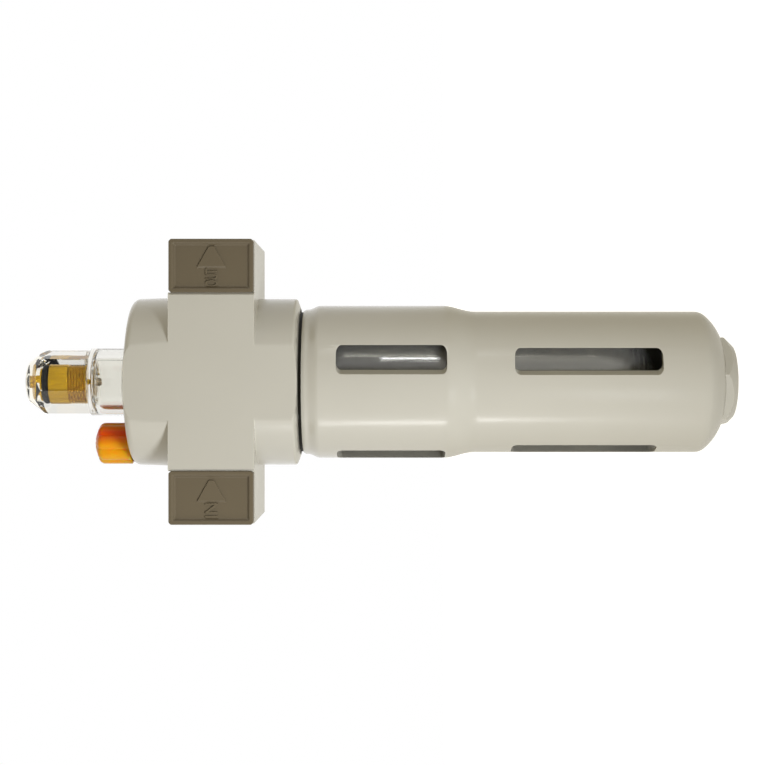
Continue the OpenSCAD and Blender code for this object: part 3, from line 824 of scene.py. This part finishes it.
class LUBRICATOR_OT_air_passage(bpy.types.Operator):
    """Cuts the port threads and finishes the sleeve and the flap in the air passage"""

    bl_idname = "lubricator.air_passage"
    bl_label = "Air passage"

    def execute(self, context):
        moulded = context.scene.lubricator_moulded
        metal = context.scene.lubricator_metal
        dress(finish_of(moulded_acetal, moulded), "venturi_insert")
        dress(finish_of(plated_steel, metal), "flow_flap", "flap_pin")
        zinc = finish_of(cut_zinc, metal)
        lead = metal.port_lead / MM
        centre = Vector((0, 0, 0))
        for mount in frame["record"]["mounts"]:
            side = mount["name"].split("_")[0]
            low, high = PORT_THREAD
            loops = []
            for z in steps(low, high, PORT_STEP):
                fade = min(1, (z - low) / lead, (high - z) / lead)
                loops.append(circle(
                    centre,
                    lambda turn: PORT_ROOT - (PORT_ROOT - PORT_CREST) * fade * thread_rise(z, turn, lead),
                    z, PORT_POINTS
                ))
            loops += [circle(centre, PORT_SKIN, z, PORT_POINTS) for z in (high, low)]
            thread = loft(loops, tube=True)
            inward = Vector(mount["axis"]) * -1
            thread.transform(
                Matrix.Translation(mount["pos_m"]) @ inward.to_track_quat("Z", "Y").to_matrix().to_4x4()
            )
            piece(f"{side}_port_thread", thread, zinc, "body", "steel")
        return {"FINISHED"}


PLATE_SCREW_EDGE = 0.15 * MM


class LUBRICATOR_OT_fasteners_and_seals(bpy.types.Operator):
    """Finishes the plate screws and all sealing rings"""

    bl_idname = "lubricator.fasteners_and_seals"
    bl_label = "Fasteners and seals"

    def execute(self, context):
        dress(finish_of(plated_steel, context.scene.lubricator_metal), "plate_screws")
        soften(NODES["plate_screws"], PLATE_SCREW_EDGE)
        dress(
            finish_of(sealing_rubber, context.scene.lubricator_moulded),
            "inlet_plate_seal", "outlet_plate_seal", "dome_seal", "regulating_screw_seal",
            "filler_plug_seal", "bowl_seal", "guard_dust_ring"
        )
        return {"FINISHED"}


WHITE = linear("#FFFFFF")
# The part's middle is this far beside the picture's middle
CAMERA_ASIDE = -0.16 * MM
# Level of the room behind the camera, and the directions between which it fades to white
ROOM_FRONT = 0.3
ROOM_FADE = (-0.75, -0.45)
SEEN_THROUGH = 0.9
FLOOR_HALF = 3
FLOOR_GLOW = (0.85, 0.85, 0.85, 1)
FLOOR_MIRRORED = 0.45
# Size, place and aim of each lamp. The key lamp is near and low, and is turned away from the guard,
# which would be lit more than the cap
KEY_LAMP = ((0.07, 0.07), (AXIS.x - 0.08, -0.22, -0.125), (AXIS.x, 0, 0.4))
STRIP_LAMP = ((0.045, 0.14), (AXIS.x - 0.535, -0.27, -0.065), (AXIS.x, 0, -0.065))
SPARK_LAMP = ((0.07, 0.035), (AXIS.x + 0.45, -0.45, -0.055), (AXIS.x, 0, -0.055))


def seen_rays(tree, mirrored=1.0):
    """1 for camera and transmission rays, which show the background, and a level for glossy ones."""
    rays = add_node(tree, "ShaderNodeLightPath")
    gloss = add_node(
        tree, "ShaderNodeMath", {0: rays.outputs["Is Glossy Ray"]}, {1: mirrored}, operation="MULTIPLY"
    )
    first = add_node(
        tree, "ShaderNodeMath",
        {0: rays.outputs["Is Camera Ray"], 1: gloss.outputs["Value"]}, operation="MAXIMUM"
    )
    return add_node(
        tree, "ShaderNodeMath",
        {0: first.outputs["Value"], 1: rays.outputs["Is Transmission Ray"]}, operation="MAXIMUM"
    ).outputs["Value"]


def lamp(name, watts, size, place, target, tone=WHITE, mirrored=True):
    """Rectangular lamp that looks at a target; shiny surfaces mirror it or not."""
    light = bpy.data.lights.new(name, "AREA")
    light.shape = "RECTANGLE"
    light.energy = watts
    light.color = tone[:3]
    light.size, light.size_y = size
    obj = bpy.data.objects.new(name, light)
    obj.location = place
    obj.rotation_euler = (Vector(target) - Vector(place)).to_track_quat("-Z", "Y").to_euler()
    bpy.context.scene.collection.objects.link(obj)
    obj.visible_camera = False
    obj.visible_glossy = mirrored


class LUBRICATOR_OT_stage(bpy.types.Operator):
    """Sets up the camera, the lamps, the white surroundings and the floor"""

    bl_idname = "lubricator.stage"
    bl_label = "Stage"

    def execute(self, context):
        look = context.scene.lubricator_stage
        scene = context.scene
        scene.view_settings.view_transform = "Standard"
        camera = bpy.data.cameras.new("camera")
        camera.lens = look.lens
        camera.sensor_width = 36
        camera.clip_start = 0.01
        viewer = bpy.data.objects.new("camera", camera)
        # The part lies on its side in the picture: its top points to the left
        on_side = Matrix(((0, 1, 0, 0), (0, 0, -1, 0), (-1, 0, 0, 0), (0, 0, 0, 1)))
        stand = Matrix.Translation((AXIS.x + CAMERA_ASIDE, -look.distance, look.height))
        viewer.matrix_world = stand @ on_side
        scene.collection.objects.link(viewer)
        scene.camera = viewer

        world = bpy.data.worlds.new("plain_studio")
        world.use_nodes = True
        scene.world = world
        tree = world.node_tree
        tree.nodes.clear()
        # Behind the camera lies the dimmer, warmer room
        towards = add_node(tree, "ShaderNodeTexCoord")
        depth = add_node(tree, "ShaderNodeSeparateXYZ", {"Vector": towards.outputs["Generated"]})
        room = add_node(
            tree, "ShaderNodeMapRange", {"Value": depth.outputs["Y"]},
            {"From Min": ROOM_FADE[0], "From Max": ROOM_FADE[1], "To Min": ROOM_FRONT, "To Max": 1.0}
        )
        rays = add_node(tree, "ShaderNodeLightPath")
        through = add_node(
            tree, "ShaderNodeMath", {0: rays.outputs["Is Transmission Ray"]}, {1: SEEN_THROUGH},
            operation="MULTIPLY"
        )
        plain = add_node(
            tree, "ShaderNodeMath",
            {0: through.outputs["Value"], 1: rays.outputs["Is Camera Ray"]}, operation="MAXIMUM"
        )
        level = add_node(
            tree, "ShaderNodeMath",
            {0: room.outputs["Result"], 1: plain.outputs["Value"]}, operation="MAXIMUM"
        )
        seen = add_node(
            tree, "ShaderNodeBackground", {"Strength": level.outputs["Value"]}, {"Color": WHITE}
        )
        glow = add_node(
            tree, "ShaderNodeMix", {"Factor": room.outputs["Result"]},
            {COLOUR_A: look.bounce, COLOUR_B: look.around}, data_type="RGBA"
        )
        strength = add_node(
            tree, "ShaderNodeMath", {0: room.outputs["Result"]}, {1: look.ambient}, operation="MULTIPLY"
        )
        light = add_node(
            tree, "ShaderNodeBackground",
            {"Color": glow.outputs[COLOUR_OUT], "Strength": strength.outputs["Value"]}
        )
        both = add_node(
            tree, "ShaderNodeMixShader",
            {0: seen_rays(tree), 1: light.outputs["Background"], 2: seen.outputs["Background"]}
        )
        add_node(tree, "ShaderNodeOutputWorld", {"Surface": both.outputs["Shader"]})

        floor_z = CAD_BOX[0][2] - look.drop
        bm = bmesh.new()
        bmesh.ops.create_grid(bm, x_segments=8, y_segments=8, size=FLOOR_HALF)
        mesh = bpy.data.meshes.new("floor")
        bm.to_mesh(mesh)
        bm.free()
        floor = bpy.data.objects.new("floor", mesh)
        floor.location = (AXIS.x, 0, floor_z)
        scene.collection.objects.link(floor)
        material, tree, shader = new_material(
            "pale_floor", {"Base Color": linear("#C9C9C7"), "Roughness": 0.8}
        )
        glow = add_node(
            tree, "ShaderNodeEmission", {"Strength": seen_rays(tree, FLOOR_MIRRORED)}, {"Color": FLOOR_GLOW}
        )
        sum_up = add_node(
            tree, "ShaderNodeAddShader", {0: shader.outputs["BSDF"], 1: glow.outputs["Emission"]}
        )
        tree.links.new(sum_up.outputs["Shader"], tree.nodes["Material Output"].inputs["Surface"])
        mesh.materials.append(material)

        lamp("key_lamp", look.key, *KEY_LAMP, tone=look.key_tone, mirrored=False)
        lamp("strip_lamp", look.strip, *STRIP_LAMP)
        lamp("spark_lamp", look.spark, *SPARK_LAMP)
        return {"FINISHED"}


class LUBRICATOR_PT_sidebar(bpy.types.Panel):
    """Lists the lubricator's operators and values"""

    bl_idname = "LUBRICATOR_PT_sidebar"
    bl_label = "Air line lubricator"
    bl_space_type = "VIEW_3D"
    bl_region_type = "UI"
    bl_category = "Lubricator"

    def draw(self, context):
        for group in LOOKS:
            values = getattr(context.scene, group)
            box = self.layout.box()
            for name in values.__annotations__:
                box.prop(values, name)
        for operator in OPERATORS:
            self.layout.operator(operator.bl_idname)


LOOKS = {
    "lubricator_castings": CastingLook,
    "lubricator_moulded": MouldedLook,
    "lubricator_metal": MetalLook,
    "lubricator_stage": StageLook,
}
OPERATORS = (
    LUBRICATOR_OT_castings,
    LUBRICATOR_OT_covers,
    LUBRICATOR_OT_sight_dome,
    LUBRICATOR_OT_filler_plug,
    LUBRICATOR_OT_oil_bowl,
    LUBRICATOR_OT_air_passage,
    LUBRICATOR_OT_fasteners_and_seals,
    LUBRICATOR_OT_stage,
)


def register():
    """Registers the classes and hangs the values on the scene."""
    for group, look in LOOKS.items():
        bpy.utils.register_class(look)
        setattr(bpy.types.Scene, group, PointerProperty(type=look))
    for cls in (*OPERATORS, LUBRICATOR_PT_sidebar):
        bpy.utils.register_class(cls)


def unregister():
    """Takes the classes and the values away again."""
    for cls in (LUBRICATOR_PT_sidebar, *reversed(OPERATORS)):
        bpy.utils.unregister_class(cls)
    for group, look in LOOKS.items():
        delattr(bpy.types.Scene, group)
        bpy.utils.unregister_class(look)


def main():
    register()
    for operator in OPERATORS:
        family, name = operator.bl_idname.split(".")
        getattr(getattr(bpy.ops, family), name)()


if __name__ == "__main__":
    main()
